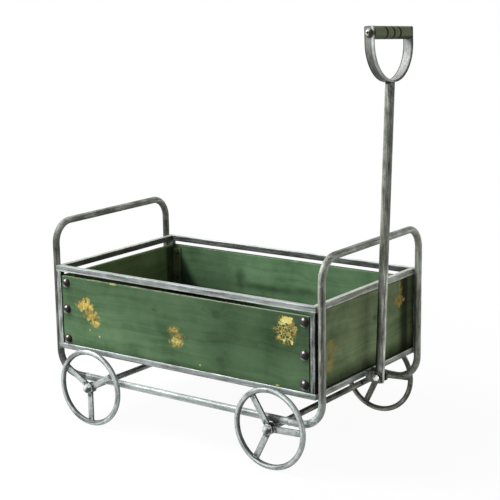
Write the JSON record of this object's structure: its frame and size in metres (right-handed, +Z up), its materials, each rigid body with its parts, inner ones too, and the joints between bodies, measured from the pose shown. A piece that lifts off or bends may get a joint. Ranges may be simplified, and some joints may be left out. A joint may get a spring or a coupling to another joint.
{
  "type": "garden wagon planter",
  "caption": "Open boarded planter box in a square-tube cage on a round-tube wagon frame with end hoops, spoked wheels and a hinged upright pull handle.",
  "frame": {"origin": "middle of the object's box on the ground", "axes": "+Z up, +X towards the pull handle, +Y to the left side"},
  "size_m": [0.5868, 0.366, 0.6828],
  "materials": {
    "antique_metal": "antique silver dry-brushed over dark grey",
    "green_board": "green paint worn to ochre in patches",
    "dark_bolts": "dark pewter",
    "bright_steel": "plated",
    "grip_wood": "worn olive stain"
  },
  "bodies": {
    "frame": {"front_hoop": "antique_metal", "rear_hoop": "antique_metal", "right_lower_rail": "antique_metal", "left_lower_rail": "antique_metal", "front_axle": "antique_metal", "rear_axle": "antique_metal", "front_top_rail": "antique_metal", "front_bottom_rail": "antique_metal", "rear_top_rail": "antique_metal", "rear_bottom_rail": "antique_metal", "right_top_rail": "antique_metal", "right_bottom_rail": "antique_metal", "left_top_rail": "antique_metal", "left_bottom_rail": "antique_metal", "front_right_post": "antique_metal", "front_left_post": "antique_metal", "rear_right_post": "antique_metal", "rear_left_post": "antique_metal", "right_clevis_plate": "antique_metal", "left_clevis_plate": "antique_metal", "wheel_washers": "antique_metal", "floor_bearers": "antique_metal", "front_right_angle": "antique_metal", "front_left_angle": "antique_metal", "rear_right_angle": "antique_metal", "rear_left_angle": "antique_metal", "right_side_board": "green_board", "left_side_board": "green_board", "front_end_board": "green_board", "rear_end_board": "green_board", "floor_board": "green_board", "right_dome_bolts": "dark_bolts", "left_dome_bolts": "dark_bolts", "right_bolt_nuts": "dark_bolts", "left_bolt_nuts": "dark_bolts", "cap_nuts": "dark_bolts", "pivot_nut": "dark_bolts", "pivot_bolt": "bright_steel"},
    "handle": {"handle_tube": "antique_metal", "handle_bow": "antique_metal", "handle_grip": "grip_wood", "grip_screws": "bright_steel"},
    "front_right_wheel": {"front_right_rim": "antique_metal", "front_right_spokes": "antique_metal", "front_right_hub": "antique_metal"},
    "front_left_wheel": {"front_left_rim": "antique_metal", "front_left_spokes": "antique_metal", "front_left_hub": "antique_metal"},
    "rear_right_wheel": {"rear_right_rim": "antique_metal", "rear_right_spokes": "antique_metal", "rear_right_hub": "antique_metal"},
    "rear_left_wheel": {"rear_left_rim": "antique_metal", "rear_left_spokes": "antique_metal", "rear_left_hub": "antique_metal"}
  },
  "joints": [
    {"name": "handle_swing", "type": "hinge", "parent": "frame", "child": "handle", "pos_m": [0.27063, 0, 0.1255], "axis": [0, 1, 0], "range_deg": [-1.8, 98]},
    {"name": "front_right_spin", "type": "hinge", "parent": "frame", "child": "front_right_wheel", "pos_m": [0.17112, -0.168, 0.067], "axis": [0, 1, 0], "continuous": true},
    {"name": "front_left_spin", "type": "hinge", "parent": "frame", "child": "front_left_wheel", "pos_m": [0.17112, 0.168, 0.067], "axis": [0, 1, 0], "continuous": true},
    {"name": "rear_right_spin", "type": "hinge", "parent": "frame", "child": "rear_right_wheel", "pos_m": [-0.20388, -0.168, 0.067], "axis": [0, 1, 0], "continuous": true},
    {"name": "rear_left_spin", "type": "hinge", "parent": "frame", "child": "rear_left_wheel", "pos_m": [-0.20388, 0.168, 0.067], "axis": [0, 1, 0], "continuous": true}
  ]
}
